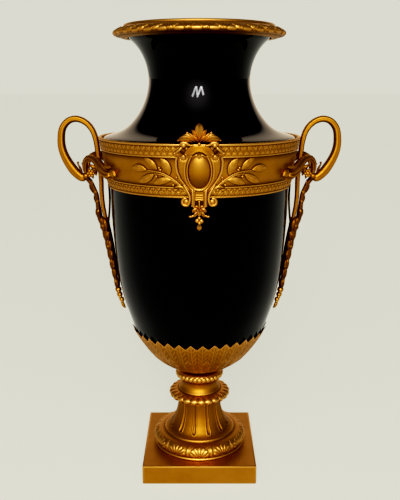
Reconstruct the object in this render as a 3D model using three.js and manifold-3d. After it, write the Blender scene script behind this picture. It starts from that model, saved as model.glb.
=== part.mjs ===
// A mantel urn: a dark glazed porcelain vase in gilt bronze mounts, on a square bronze plinth.
// Millimetres, +Z up, the origin at the middle of the plinth's underside. The front faces -Y.
import * as THREE from "three";
import { mergeVertices } from "three/addons/utils/BufferGeometryUtils.js";
import Module from "manifold-3d";

// Driving dimensions
const plinthSide = 130;
const plinthHeight = 22.5;
const plinthEdge = 1;
const gap = 0.3;
const fluteCount = 12;
const fluteDepth = 1.6;
const fluteFrom = 50;
const fluteTo = 76;
const lobeCount = 24;
const lobeDepth = 1.5;
const leafCount = 38;
const leafTip = 172;
const leafNotch = 163;
const beltBottom = { radius: 100.2, height: 336.8 };
const beltTop = { radius: 109.8, height: 390.3 };
const plateThickness = 3;
const shieldMiddle = 363.4;
const ringDepth = 11;
const bodySteps = 32;

const gold = { color: 0xb9780f, roughness: 0.38, metalness: 1 };
const glaze = { color: 0x05060c, roughness: 0.06, metalness: 0 };

const wasm = await Module();
wasm.setup();

// A three.js geometry as a manifold solid.
function solidOf(geometry) {
  const bare = geometry.clone();
  bare.deleteAttribute("normal");
  bare.deleteAttribute("uv");
  const merged = mergeVertices(bare, 1e-3);
  return new wasm.Manifold(
    new wasm.Mesh({
      numProp: 3,
      vertProperties: merged.attributes.position.array,
      triVerts: new Uint32Array(merged.index.array),
    }),
  );
}

// A manifold solid as a three.js geometry.
function geometryOf(solid) {
  const made = solid.getMesh();
  const geometry = new THREE.BufferGeometry();
  geometry.setAttribute("position", new THREE.BufferAttribute(made.vertProperties, 3));
  geometry.setIndex(new THREE.BufferAttribute(made.triVerts, 1));
  return geometry;
}

function joined(solids) {
  return solids.reduce((sum, solid) => sum.add(solid));
}

// Turns an outline of [radius, height] points about the vertical axis. The outline runs up the
// outside. carve may move each point: it gets the radius, the height and the angle, and returns both.
function turned(outline, steps, carve) {
  const points = outline.map(([radius, height]) => new THREE.Vector2(radius, height));
  const geometry = new THREE.LatheGeometry(points, steps).rotateX(Math.PI / 2);
  if (carve) {
    const position = geometry.attributes.position;
    for (let i = 0; i < position.count; i += 1) {
      const angle = Math.atan2(position.getY(i), position.getX(i));
      const radius = Math.hypot(position.getX(i), position.getY(i));
      const moved = carve(radius, position.getZ(i), angle);
      position.setXYZ(i, moved[0] * Math.cos(angle), moved[0] * Math.sin(angle), moved[1]);
    }
  }
  return geometry;
}

// The radius at a height on an outline that only rises.
function radiusAt(outline, height) {
  const next = outline.findIndex((point) => point[1] >= height);
  const [low, high] = [outline[next - 1], outline[next]];
  return low[0] + ((high[0] - low[0]) * (height - low[1])) / (high[1] - low[1]);
}

// A bar along a smooth curve through points, with an oval section. On a curve that lies in the XZ
// plane, wide is across the curve in that plane and deep is along Y.
function bar(points, wide, deep, steps, sides = 6) {
  const curve = new THREE.CatmullRomCurve3(points.map((point) => new THREE.Vector3(...point)));
  const section = new THREE.Shape();
  for (let i = 0; i < sides; i += 1) {
    const angle = ((i + 0.5) / sides) * Math.PI * 2;
    const place = [(deep / 2) * Math.cos(angle), (wide / 2) * Math.sin(angle)];
    if (i === 0) section.moveTo(...place);
    else section.lineTo(...place);
  }
  return new THREE.ExtrudeGeometry(section, { extrudePath: curve, steps });
}

function ball(place, radii, across = 8, around = 4) {
  return new THREE.SphereGeometry(1, across, around)
    .scale(...radii)
    .translate(...place);
}

// The plinth: a plain square block with a fine chamfer on every edge.
function plinth() {
  const half = plinthSide / 2 - plinthEdge;
  const square = new THREE.Shape();
  square.moveTo(-half, -half);
  square.lineTo(half, -half);
  square.lineTo(half, half);
  square.lineTo(-half, half);
  square.closePath();
  return new THREE.ExtrudeGeometry(square, {
    depth: plinthHeight - 2 * plinthEdge,
    bevelEnabled: true,
    bevelThickness: plinthEdge,
    bevelSize: plinthEdge,
    bevelSegments: 1,
  }).translate(0, 0, plinthEdge);
}

// The foot: a leafy torus under a spreading bell with long hollow flutes.
function foot() {
  const under = plinthHeight + gap;
  const outline = [
    [0, under],
    [54.5, under],
    [54.5, 24.8],
    [54.7, 31],
    [52.6, 36.6],
    [44, 38.6],
    [41.4, 40.8],
    [36, 43.6],
    [30.4, 51],
    [26.8, 61],
    [25, 70],
    [24.8, 80],
    [0, 80],
  ];
  return turned(outline, 4 * fluteCount, (radius, height, angle) => {
    const inFlute = height > fluteFrom && height < fluteTo && Math.cos(fluteCount * angle) > 0.5;
    return [inFlute ? radius - fluteDepth : radius, height];
  });
}

// The knop: a gadrooned flange, a cavetto and a bead ring, which carry the leaf cup.
function knop() {
  const outline = [
    [0, 80 + gap],
    [26, 80 + gap],
    [33.4, 82.6],
    [36.3, 86.4],
    [34, 90],
    [24.4, 91.4],
    [21.3, 97],
    [23.6, 105.2],
    [28.4, 109],
    [28, 112.8],
    [22, 115],
    [0, 115],
  ];
  const flange = 32;
  return turned(outline, 2 * lobeCount, (radius, height, angle) => {
    const between = radius > flange && Math.cos(lobeCount * angle) < 0;
    return [between ? radius - lobeDepth : radius, height];
  });
}

// The outside and the inside of the porcelain, both from the bottom up.
const vaseOutside = [
  [0, 118.4],
  [12, 118.6],
  [34, 126.2],
  [52.8, 140.4],
  [66, 156.6],
  [75.2, 171.5],
  [84.8, 200],
  [92.3, 235],
  [97.2, 285],
  [99.1, 338],
  [105.4, 385],
  [103.4, 390],
  [91, 393.6],
  [78.6, 400],
  [62.4, 420],
  [55, 442],
  [56, 461],
  [63.7, 480],
  [75.2, 492.6],
  [77.6, 499.8],
];
const vaseInside = [
  [72.6, 499.8],
  [59, 482],
  [49.8, 441],
  [57, 418],
  [74, 397],
  [87, 389.4],
  [99, 384.6],
  [91.4, 280],
  [82, 210],
  [61, 160],
  [31, 131.4],
  [0, 123.6],
];

// The vase: one hollow porcelain body, open at the mouth.
function vaseBody() {
  return turned([...vaseOutside, ...vaseInside], bodySteps);
}

// The leaf cup: pointed leaves that hold the bottom of the vase.
function calyx() {
  const rims = vaseOutside.filter(([radius, height]) => height > 119 && height < 172);
  const inner = rims.map(([radius, height]) => [radius + 0.5, height - 0.2]).reverse();
  const outer = [
    [0, 115 + gap],
    [15, 115 + gap],
    [35, 123.4],
    [54.6, 138.4],
    [68.8, 156.4],
    [77.3, leafTip],
  ];
  inner[0] = [76.4, leafTip];
  const seat = [
    [12.2, 118.6 - gap],
    [0, 118.4 - gap],
  ];
  return turned([...outer, ...inner, ...seat], 2 * leafCount, (radius, height, angle) => {
    const notch = height > leafTip - 1 && Math.cos(leafCount * angle) < 0;
    if (!notch) return [radius, height];
    const drop = leafTip - leafNotch;
    return [radius - 0.58 * drop, height - drop];
  });
}

// The rim mount: a ring with a leafy ovolo, which covers the lip of the vase.
function rimMount() {
  const outline = [
    [76.2, 491.4],
    [80.4, 492.2],
    [86.4, 493.8],
    [90.6, 496],
    [90.8, 498.2],
    [86.8, 502],
    [80.4, 504],
    [78.2, 505.7],
    [71.2, 505.7],
    [70.2, 504.4],
    [70.6, 500.3],
    [78.2, 500.3],
    [76.2, 491.4],
  ];
  return turned(outline, bodySteps);
}

// The belt: a conical band with a raised border at each edge, round the shoulder of the vase.
const beltOutside = [
  [beltBottom.radius, beltBottom.height],
  [101.7, 338.4],
  [102.3, 347.2],
  [103, 349.4],
  [107.9, 377.4],
  [109.6, 380],
  [110.2, 388.8],
  [beltTop.radius, beltTop.height],
];
function belt() {
  const inside = [
    [106.8, 390.3],
    [106.2, 384.8],
    [99.5, 336.8],
  ];
  return turned([...beltOutside, ...inside, beltOutside[0]], bodySteps);
}

// A plate that follows the belt and hangs straight below it and stands straight above it, cut to
// an outline in the XZ plane. side is -1 on the front and 1 on the back.
function appliedPlate(shape, side) {
  const low = 300;
  const high = 415;
  const back = [
    [101.6, low],
    [102.1, 336],
    [102.9, 348],
    [108.4, 377.4],
    [110.6, 381],
    [110.6, high],
  ].map(([radius, height]) => [radius + gap, height]);
  const front = back.map(([radius, height]) => [radius + plateThickness, height]);
  const shell = turned([...front, ...back.reverse(), front[0]], 60);
  const depth = 60;
  const prism = new THREE.ExtrudeGeometry(shape, { depth, bevelEnabled: false }).rotateX(Math.PI / 2);
  prism.translate(0, side < 0 ? -90 : 90 + depth, 0);
  return solidOf(shell).intersect(solidOf(prism));
}

function shapeThrough(points) {
  const shape = new THREE.Shape();
  points.forEach((point, i) => (i ? shape.lineTo(...point) : shape.moveTo(...point)));
  shape.closePath();
  return shape;
}

// Half of the cartouche from the tip of its crest down: crest leaves, knobs, shield, volutes, drop.
const cartoucheHalf = [
  [4, 407.4],
  [7.4, 401.2],
  [11.6, 400.4],
  [14.4, 395.8],
  [19.6, 394.2],
  [18.8, 388.8],
  [13.6, 384.4],
  [18.6, 380],
  [19.4, 375.6],
  [22.1, 370],
  [20.6, 360],
  [14.6, 347],
  [12.2, 342.4],
  [12.6, 338.6],
  [17.2, 336.6],
  [16.6, 331.2],
  [9, 329.6],
  [6.4, 326.4],
  [9.2, 320.6],
  [4.4, 315],
  [2.6, 308],
];

// The oval bosses sit in the plates, with their middles just proud of the faces.
const bossDepth = 2.6;
const bossPlace = radiusAt(beltOutside, shieldMiddle) + plateThickness + 1.4;

// The cartouche: a shield with a polished oval boss, a palmette crest and a small drop.
function cartouche() {
  const mirrored = cartoucheHalf.map(([across, height]) => [-across, height]).reverse();
  const shape = shapeThrough([[0, 410.3], ...cartoucheHalf, [0, 306], ...mirrored]);
  const plate = appliedPlate(shape, -1);
  const boss = solidOf(ball([0, -bossPlace, shieldMiddle], [9.6, bossDepth, 15.6], 12, 8));
  return geometryOf(plate.add(boss));
}

// The medallion on the back: a plain oval plate with a low boss.
function backMedallion() {
  const shape = new THREE.Shape();
  shape.absellipse(0, shieldMiddle, 17, 21, 0, Math.PI * 2);
  const plate = appliedPlate(shapeThrough(shape.getPoints(6).slice(1).map((p) => [p.x, p.y])), 1);
  const boss = solidOf(ball([0, bossPlace, shieldMiddle], [10, bossDepth, 14], 10, 6));
  return geometryOf(plate.add(boss));
}

// The right handle, one casting in a mirror plane at y = 0: an open ring, two crooks to the belt,
// a forked stem and a husk pendant that lies down the side of the vase.
const ringLine = [
  [106.4, 298],
  [109.4, 320],
  [109.8, 340],
  [111.6, 366],
  [113.8, 386],
  [120.5, 401.4],
  [135.1, 408.2],
  [148, 401.4],
  [152.3, 385],
  [149, 366.4],
  [139.4, 349.4],
  [127, 344],
];
const stemLine = [
  [126, 343.4],
  [119.6, 334],
  [115.2, 323],
  [113.4, 308],
  [110, 293],
];
const crookLine = [
  [92, 58, 354],
  [100.6, 46, 357.3],
  [108.4, 33, 364.4],
  [116, 22, 367.6],
  [122.6, 13, 365.4],
  [126, 7, 358],
  [126.6, 3, 348],
];
const backStrapLine = [
  [103.2, 334],
  [102, 315],
  [104.4, 292],
];
const pendantLine = [
  [107.4, 300],
  [105.8, 284],
  [102, 264],
  [98.4, 244],
  [95.8, 224],
];

function handle() {
  const flat = (line) => line.map(([across, height]) => [across, 0, height]);
  const parts = [
    bar(flat(ringLine), 7, ringDepth, 22),
    bar(flat(stemLine), 5, 8, 5),
    bar(flat(backStrapLine), 3, 9, 4),
    bar(flat(pendantLine), 9, 14, 4),
    ball([129, 0, 344.6], [6, 6.6, 5.4]),
    ball([111.6, 0, 297], [5, 6, 7]),
    ball([97, 0, 218], [4.4, 5.4, 8.6]),
    ball([94.6, 0, 207], [4, 4.8, 7]),
    ball([90.6, 0, 198], [3, 3.6, 7]),
  ];
  for (const side of [-1, 1]) {
    const line = crookLine.map(([x, y, z]) => [x, side * y, z]);
    parts.push(bar(line, 7.4, 7.4, 8));
    parts.push(ball([90, side * 59, 355], [6.5, 6.5, 7.5]));
  }
  const whole = joined(parts.map(solidOf));
  const low = 185;
  const beside = vaseOutside.filter(([radius, height]) => height > low && height < beltBottom.height);
  const behind = [
    [0, low],
    [radiusAt(vaseOutside, low) + gap, low],
    ...beside.map(([radius, height]) => [radius + gap, height]),
    [radiusAt(vaseOutside, beltBottom.height) + gap, beltBottom.height - gap],
    ...beltOutside.map(([radius, height]) => [radius + gap, height]),
    [0, beltTop.height + gap],
  ];
  return whole.subtract(solidOf(turned(behind, bodySteps)));
}

function mirroredInX(solid) {
  return solid.mirror([1, 0, 0]);
}

const group = new THREE.Group();
function add(name, geometry, look) {
  const mesh = new THREE.Mesh(geometry, new THREE.MeshStandardMaterial(look));
  mesh.name = name;
  group.add(mesh);
}

const rightHandle = handle();
add("plinth", plinth(), gold);
add("foot", foot(), gold);
add("knop", knop(), gold);
add("calyx", calyx(), gold);
add("vase_body", vaseBody(), glaze);
add("rim_mount", rimMount(), gold);
add("belt", belt(), gold);
add("cartouche", cartouche(), gold);
add("back_medallion", backMedallion(), gold);
add("handle_right", geometryOf(rightHandle), gold);
add("handle_left", geometryOf(mirroredInX(rightHandle)), gold);

export default group;
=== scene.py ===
import math
import bpy
import numpy as np
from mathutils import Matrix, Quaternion, Vector


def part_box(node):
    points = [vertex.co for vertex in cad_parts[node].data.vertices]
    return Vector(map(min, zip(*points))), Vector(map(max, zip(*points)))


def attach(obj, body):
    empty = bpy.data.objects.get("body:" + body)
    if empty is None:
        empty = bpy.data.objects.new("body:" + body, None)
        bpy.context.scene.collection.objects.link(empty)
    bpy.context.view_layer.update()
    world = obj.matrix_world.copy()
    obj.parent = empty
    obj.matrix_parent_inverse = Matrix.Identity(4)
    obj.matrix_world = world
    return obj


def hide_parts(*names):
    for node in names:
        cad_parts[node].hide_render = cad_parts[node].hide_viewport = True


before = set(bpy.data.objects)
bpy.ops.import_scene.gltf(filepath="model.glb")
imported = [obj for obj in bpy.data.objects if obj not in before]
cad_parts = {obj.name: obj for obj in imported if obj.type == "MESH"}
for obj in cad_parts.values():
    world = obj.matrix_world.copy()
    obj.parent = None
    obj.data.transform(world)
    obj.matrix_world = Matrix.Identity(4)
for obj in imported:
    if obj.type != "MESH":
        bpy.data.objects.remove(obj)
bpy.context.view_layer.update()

# Lengths below are millimetres. Angles run from the front (-Y) towards +X.
mm = 0.001
fullTurn = 2 * math.pi
mergeDistance = 0.003


def clearSelection():
    if bpy.context.mode != "OBJECT":
        bpy.ops.object.mode_set(mode="OBJECT")
    bpy.ops.object.select_all(action="DESELECT")


def nodeBox(node):
    low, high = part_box(node)
    return np.array(low) / mm, np.array(high) / mm


def readPoints(piece):
    flat = np.empty(len(piece.data.vertices) * 3)
    piece.data.vertices.foreach_get("co", flat)
    return flat.reshape(-1, 3)


def writePoints(piece, points):
    piece.data.vertices.foreach_set("co", (np.asarray(points) * mm).ravel())
    piece.data.update()


def closeSeams(piece):
    # merges the seam and the poles, then turns every face outwards
    clearSelection()
    piece.select_set(True)
    bpy.context.view_layer.objects.active = piece
    bpy.ops.object.mode_set(mode="EDIT")
    bpy.ops.mesh.select_all(action="SELECT")
    bpy.ops.mesh.remove_doubles(threshold=mergeDistance * mm)
    bpy.ops.mesh.normals_make_consistent(inside=False)
    bpy.ops.object.mode_set(mode="OBJECT")


def unit(vectors):
    return vectors / np.maximum(np.linalg.norm(vectors, axis=-1, keepdims=True), 1e-9)


def stepLengths(line):
    return np.linalg.norm(np.diff(line, axis=0), axis=1)


def runAlong(line):
    # how far along the line each of its points lies
    return np.concatenate([[0], np.cumsum(stepLengths(line))])


def curved(points, samples=20):
    # a smooth line through the points, whatever their spacing
    p = np.array(points, float)
    if len(p) < 3:
        return np.linspace(p[0], p[-1], samples)
    gaps = stepLengths(p)[:, None]
    slope = np.diff(p, axis=0) / gaps
    middle = (slope[:-1] * gaps[1:] + slope[1:] * gaps[:-1]) / (gaps[1:] + gaps[:-1])
    tangent = np.vstack([1.5 * slope[:1] - 0.5 * middle[:1], middle, 1.5 * slope[-1:] - 0.5 * middle[-1:]])
    t = np.linspace(0, 1, samples, endpoint=False)[:, None]
    parts = []
    for i in range(len(p) - 1):
        h = gaps[i]
        parts.append((2 * t**3 - 3 * t**2 + 1) * p[i] + (t**3 - 2 * t**2 + t) * h * tangent[i]
                     + (3 * t**2 - 2 * t**3) * p[i + 1] + (t**3 - t**2) * h * tangent[i + 1])
    parts.append(p[-1:])
    return np.vstack(parts)


def spaced(line, count):
    # the same line with count + 1 even points
    run = runAlong(line)
    at = np.linspace(0, run[-1], count + 1)
    return np.stack([np.interp(at, run, line[:, k]) for k in range(line.shape[1])], axis=1)


def outline(start, *runs):
    # each run has its own step and goes on from the last point, and corners lie between runs; a run to
    # one point is straight, and a run through more is curved
    parts = []
    for step, points in runs:
        points = [start, *points]
        start = points[-1]
        line = curved(points) if len(points) > 2 else np.array(points, float)
        parts.append(spaced(line, max(1, round(stepLengths(line).sum() / step)))[:-1])
    parts.append(np.array([start], float))
    return np.vstack(parts)


def gridPiece(name, across, along, shape):
    # a flat grid, wrapped to the shape's points
    clearSelection()
    bpy.ops.mesh.primitive_grid_add(x_subdivisions=across, y_subdivisions=along, size=2)
    piece = bpy.context.object
    piece.name = name
    flat = readPoints(piece)
    u = np.rint((flat[:, 0] + 1) / 2 * across) / across
    v = np.rint((flat[:, 1] + 1) / 2 * along) / along
    writePoints(piece, shape(u, v))
    closeSeams(piece)
    return piece


def turned(name, line, around, relief=None):
    # a body of revolution whose outline runs up the outside; relief lifts it along its own normal
    along = len(line) - 1
    slope = unit(np.gradient(line, axis=0))
    normal = np.stack([slope[:, 1], -slope[:, 0]], axis=1)
    run = runAlong(line)

    def shape(u, v):
        row = np.rint(v * along).astype(int)
        angle = u * fullTurn
        radius, height = line[row, 0], line[row, 1]
        lift = relief(angle, run[row], radius, height) if relief else 0
        radius = radius + normal[row, 0] * lift
        height = height + normal[row, 1] * lift
        return np.stack([radius * np.sin(angle), -radius * np.cos(angle), height], axis=1)

    return gridPiece(name, around, along, shape)


def fade(x, low, high):
    t = np.clip((x - low) / (high - low), 0, 1)
    return t * t * (3 - 2 * t)


def dome(x):
    return np.sqrt(np.clip(1 - x * x, 0, 1))


def fromNearest(angle, count, phase=0):
    # radians from the nearest of count even places
    step = fullTurn / count
    return (angle - phase + step / 2) % step - step / 2


def crease(x, half):
    # a narrow rounded ridge: 1 at x = 0, and almost nothing past twice its half width
    return np.exp(-(x / half) ** 2)


def framesAlong(line, outward):
    # at each point of the line, the direction across it and the direction out from it
    tangent = unit(np.gradient(line, axis=0))
    side = unit(np.cross(tangent, np.array(outward, float)))
    return side, unit(np.cross(side, tangent))


def spreadOut(sizes, count):
    # a short list of sizes, filled in evenly to count of them
    return np.interp(np.linspace(0, 1, count), np.linspace(0, 1, len(sizes)), sizes)


def tube(path, radius, outward=(0, -1, 0), flat=1, ridges=0, ridgeDepth=0.12, twist=0, around=14, step=1):
    # a round or oval bar along a path, closed by domed ends; radius may list sizes along the way
    line = curved(path)
    length = stepLengths(line).sum()
    along = max(6, round(length / step))
    line = spaced(line, along)
    side, out = framesAlong(line, outward)
    thick = spreadOut(np.atleast_1d(radius), along + 1)

    def shape(u, v):
        row = np.rint(v * along).astype(int)
        r = thick[row]
        toEnd = np.minimum(v, 1 - v) * length
        r = r * dome(np.clip(1 - toEnd / np.maximum(r, 0.2), 0, 1))
        angle = u * fullTurn
        if ridges:
            r = r * (1 - ridgeDepth * (1 - np.abs(np.cos(ridges * angle / 2 + twist * v))))
        return (line[row] + side[row] * (r * np.cos(angle))[:, None]
                + out[row] * (r * flat * np.sin(angle))[:, None])

    return gridPiece("bar", around, along, shape)


def leaf(path, outward, width, thick, peak=0.4, ridge=0.35, veins=0, around=20, along=22):
    # a closed leaf blade: pointed at both ends, domed outwards, with a midrib and slanting veins
    line = spaced(curved(path), along)
    side, out = framesAlong(line, outward)
    p, q = peak / (1 - peak) * 0.9, 0.9

    def shape(u, v):
        row = np.rint(v * along).astype(int)
        breadth = (v**p * (1 - v)**q) / (peak**p * (1 - peak)**q)
        angle = u * fullTurn
        across, up = np.cos(angle), np.sin(angle)
        front = np.clip(up, 0, 1)
        lift = thick * breadth**0.5 * front**0.8
        lift = lift + ridge * thick * crease(across, 0.16) * front * breadth**0.3
        if veins:
            stripe = np.cos(fullTurn * (v * veins - np.abs(across) * 0.9))
            lift = lift + 0.09 * thick * stripe * front * breadth * fade(np.abs(across), 0.1, 0.3)
        lift = lift + 0.35 * thick * np.clip(up, -1, 0) * breadth
        return (line[row] + side[row] * (across * breadth * width / 2)[:, None] + out[row] * lift[:, None])

    return gridPiece("leaf", around, along, shape)


def ball(place, radii, segments=20, rings=12):
    clearSelection()
    bpy.ops.mesh.primitive_uv_sphere_add(segments=segments, ring_count=rings, radius=mm,
                                         location=tuple(np.array(place) * mm))
    piece = bpy.context.object
    piece.scale = radii if np.ndim(radii) else (radii,) * 3
    bpy.ops.object.transform_apply(location=True, rotation=True, scale=True)
    return piece


def joined(name, pieces):
    clearSelection()
    for piece in pieces:
        piece.select_set(True)
    bpy.context.view_layer.objects.active = pieces[0]
    bpy.ops.object.join()
    whole = bpy.context.object
    whole.name = name
    whole.data.name = name
    return whole


def reshaped(piece, change):
    writePoints(piece, change(readPoints(piece) / mm))
    closeSeams(piece)
    return piece


def copied(piece, name, change):
    # a copy with its own mesh, its points moved by change and its faces turned outwards again
    clearSelection()
    piece.select_set(True)
    bpy.context.view_layer.objects.active = piece
    bpy.ops.object.duplicate(linked=False)
    twin = bpy.context.object
    twin.name = name
    return reshaped(twin, change)


def smooth(piece, angle=50):
    clearSelection()
    piece.select_set(True)
    bpy.context.view_layer.objects.active = piece
    bpy.ops.object.shade_smooth_by_angle(angle=math.radians(angle))


# weights for the wear, the patina and painted shade in hollows, and the painted light on tops and painted
# shade on undersides
rubbingAndShade = {"plain": 0.5, "paintedLightFromAbove": 0.13, "deepest": -0.35, "proudest": 0.16, "spread": 0.65}


def markWearAndShade(piece, strength=2.2, shade=0, passes=5):
    # stores where the gilding is worn bright (proud edges) and where its hollows are dark with patina and
    # painted shade, by how far each point stands out from an evened copy of its surface; tops also get
    # painted light and undersides painted shade
    mesh = piece.data
    points = readPoints(piece) / mm
    edges = np.empty(len(mesh.edges) * 2, int)
    mesh.edges.foreach_get("vertices", edges)
    a, b = edges.reshape(-1, 2).T
    count = np.bincount(a, minlength=len(points)) + np.bincount(b, minlength=len(points))
    flat = points.copy()
    spread = rubbingAndShade["spread"]
    for _ in range(passes):
        total = np.stack([np.bincount(a, flat[b, k], len(points)) + np.bincount(b, flat[a, k], len(points))
                          for k in range(3)], axis=1)
        flat = (1 - spread) * flat + spread * total / np.maximum(count, 1)[:, None]
    normals = np.empty(len(points) * 3)
    mesh.vertex_normals.foreach_get("vector", normals)
    normals = normals.reshape(-1, 3)
    proud = np.clip(((points - flat) * normals).sum(axis=1), rubbingAndShade["deepest"], rubbingAndShade["proudest"])
    extra = shade(points, normals) if callable(shade) else shade
    # painted light and shade: surfaces facing up are painted lighter and those facing down darker, and shade
    # adds each piece's own offset
    wearAndShade = rubbingAndShade["plain"] + strength * proud + rubbingAndShade["paintedLightFromAbove"] * normals[:, 2] + extra
    wearAndShade = np.clip(wearAndShade, 0, 1)
    mesh.attributes.new("wearAndShade", "FLOAT", "POINT").data.foreach_set("value", wearAndShade)
    return piece


def nodeTree(name):
    material = bpy.data.materials.new(name)
    material.use_nodes = True
    tree = material.node_tree
    tree.nodes.clear()
    output = tree.nodes.new("ShaderNodeOutputMaterial")
    shader = tree.nodes.new("ShaderNodeBsdfPrincipled")
    tree.links.new(shader.outputs[0], output.inputs[0])
    return material, tree, shader


def addNode(tree, kind, inputs):
    # a node whose inputs are set to values, or linked where they are other nodes' outputs
    node = tree.nodes.new("ShaderNode" + kind)
    for place, value in inputs.items():
        if isinstance(value, bpy.types.NodeSocket):
            tree.links.new(value, node.inputs[place])
        else:
            node.inputs[place].default_value = value
    return node


def ramp(tree, source, stops):
    node = addNode(tree, "ValToRGB", {0: source})
    while len(node.color_ramp.elements) < len(stops):
        node.color_ramp.elements.new(0.5)
    for element, (place, colour) in zip(node.color_ramp.elements, stops):
        element.position = place
        element.color = (*colour, 1)
    return node.outputs[0]


def calculated(tree, operation, *values):
    node = addNode(tree, "Math", dict(enumerate(values)))
    node.operation = operation
    return node.outputs[0]


def noise(tree, scale, detail=4, roughness=0.55):
    place = addNode(tree, "TexCoord", {}).outputs["Object"]
    inputs = {"Vector": place, "Scale": scale, "Detail": detail, "Roughness": roughness}
    return addNode(tree, "TexNoise", inputs).outputs[0]


def roughen(tree, shader, texture, strength, depth):
    bump = addNode(tree, "Bump", {"Height": texture, "Strength": strength, "Distance": depth * mm})
    tree.links.new(bump.outputs[0], shader.inputs["Normal"])


gilding = {
    # recess, valley, face and crest: the value of wear, patina and painted light and shade at which each
    # colour is reached, and the colour
    "colours": [(0, (0.085, 0.033, 0.004)), (0.34, (0.27, 0.12, 0.013)), (0.52, (0.44, 0.21, 0.029)),
                (0.92, (0.74, 0.42, 0.13))],
    "roughRecess": 0.58, "roughFace": 0.43, "roughFrom": 0.2, "roughTo": 0.8,
    "cloudScale": 38, "cloudRange": 0.24,
    "grain": 0.12, "grainScale": 900, "grainDepth": 0.6,
}


def gildingMaterial(name, look):
    material, tree, shader = nodeTree(name)
    # reads the stored wear, patina and painted light and shade of each piece
    wearAndShade = tree.nodes.new("ShaderNodeAttribute")
    wearAndShade.attribute_name = "wearAndShade"
    cloud = noise(tree, look["cloudScale"], 5, 0.6)
    uneven = calculated(tree, "MULTIPLY_ADD", cloud, look["cloudRange"], -look["cloudRange"] / 2)
    shifted = calculated(tree, "ADD", wearAndShade.outputs["Fac"], uneven)
    colour = ramp(tree, shifted, look["colours"])
    tree.links.new(colour, shader.inputs["Base Color"])
    rough = addNode(tree, "MapRange", {
        "Value": shifted, "From Min": look["roughFrom"], "From Max": look["roughTo"],
        "To Min": look["roughRecess"], "To Max": look["roughFace"]})
    tree.links.new(rough.outputs[0], shader.inputs["Roughness"])
    roughen(tree, shader, noise(tree, look["grainScale"], 3, 0.7), look["grain"], look["grainDepth"])
    shader.inputs["Metallic"].default_value = 1
    return material


glazing = {
    "colour": (0.0022, 0.0024, 0.0055),
    "deep": (0.0012, 0.0012, 0.0022),
    "cloudScale": 9,
    "gloss": 0.045, "refraction": 1.27,
    "peel": 0.02, "peelScale": 160, "peelDepth": 0.4,
}


def glazeMaterial(name, look):
    material, tree, shader = nodeTree(name)
    cloud = noise(tree, look["cloudScale"], 3)
    colour = ramp(tree, cloud, [(0.3, look["deep"]), (0.75, look["colour"])])
    tree.links.new(colour, shader.inputs["Base Color"])
    roughen(tree, shader, noise(tree, look["peelScale"], 2), look["peel"], look["peelDepth"])
    shader.inputs["Roughness"].default_value = look["gloss"]
    shader.inputs["IOR"].default_value = look["refraction"]
    return material


giltBronze = gildingMaterial("giltBronze", gilding)
darkGlaze = glazeMaterial("darkGlaze", glazing)


def finishPiece(piece, node, smoothAngle=50, wearStrength=2.2, material=giltBronze):
    smooth(piece, smoothAngle)
    if material is giltBronze and "wearAndShade" not in piece.data.attributes:
        markWearAndShade(piece, wearStrength)
    piece.data.materials.clear()
    piece.data.materials.append(material)
    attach(piece, "root")
    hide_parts(node)
    triangles = len(piece.data.loops) - 2 * len(piece.data.polygons)
    print(f"{piece.name}: {triangles} triangles")


plinth = {"edge": 1.1, "edgeSteps": 2, "border": 1.2, "largeFace": 1000}


def makePlinth():
    low, high = nodeBox("plinth")
    clearSelection()
    middle = (low + high) / 2 * mm
    bpy.ops.mesh.primitive_cube_add(size=1, location=tuple(middle))
    piece = bpy.context.object
    piece.name = "plinthBlock"
    piece.scale = tuple((high - low) * mm)
    bpy.ops.object.transform_apply(location=True, rotation=True, scale=True)
    bpy.ops.object.mode_set(mode="EDIT")
    bpy.ops.mesh.select_all(action="SELECT")
    bpy.ops.mesh.bevel(offset=plinth["edge"] * mm, segments=plinth["edgeSteps"], affect="EDGES")
    bpy.ops.mesh.select_all(action="DESELECT")
    bpy.ops.object.mode_set(mode="OBJECT")
    for face in piece.data.polygons:
        face.select = face.area > plinth["largeFace"] * mm**2
    bpy.ops.object.mode_set(mode="EDIT")
    bpy.ops.mesh.inset(thickness=plinth["border"] * mm, use_individual=True)
    bpy.ops.object.mode_set(mode="OBJECT")
    markWearAndShade(piece, 0.9, passes=1)
    finishPiece(piece, "plinth", 35)


foot = {
    "around": 600, "fine": 0.8, "bell": 1, "hidden": 9,
    "fans": 12, "fanLobes": 7, "fanSpread": 160, "fanReach": 14.6, "fanHeight": 0.72, "fanPhase": 0,
    "flutes": 12, "flutePhase": -11, "fluteDepth": 0.7, "fluteHalfWidth": 2.5, "fluteEnd": 21.4,
    "fluteRim": 0.38,
}


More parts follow.
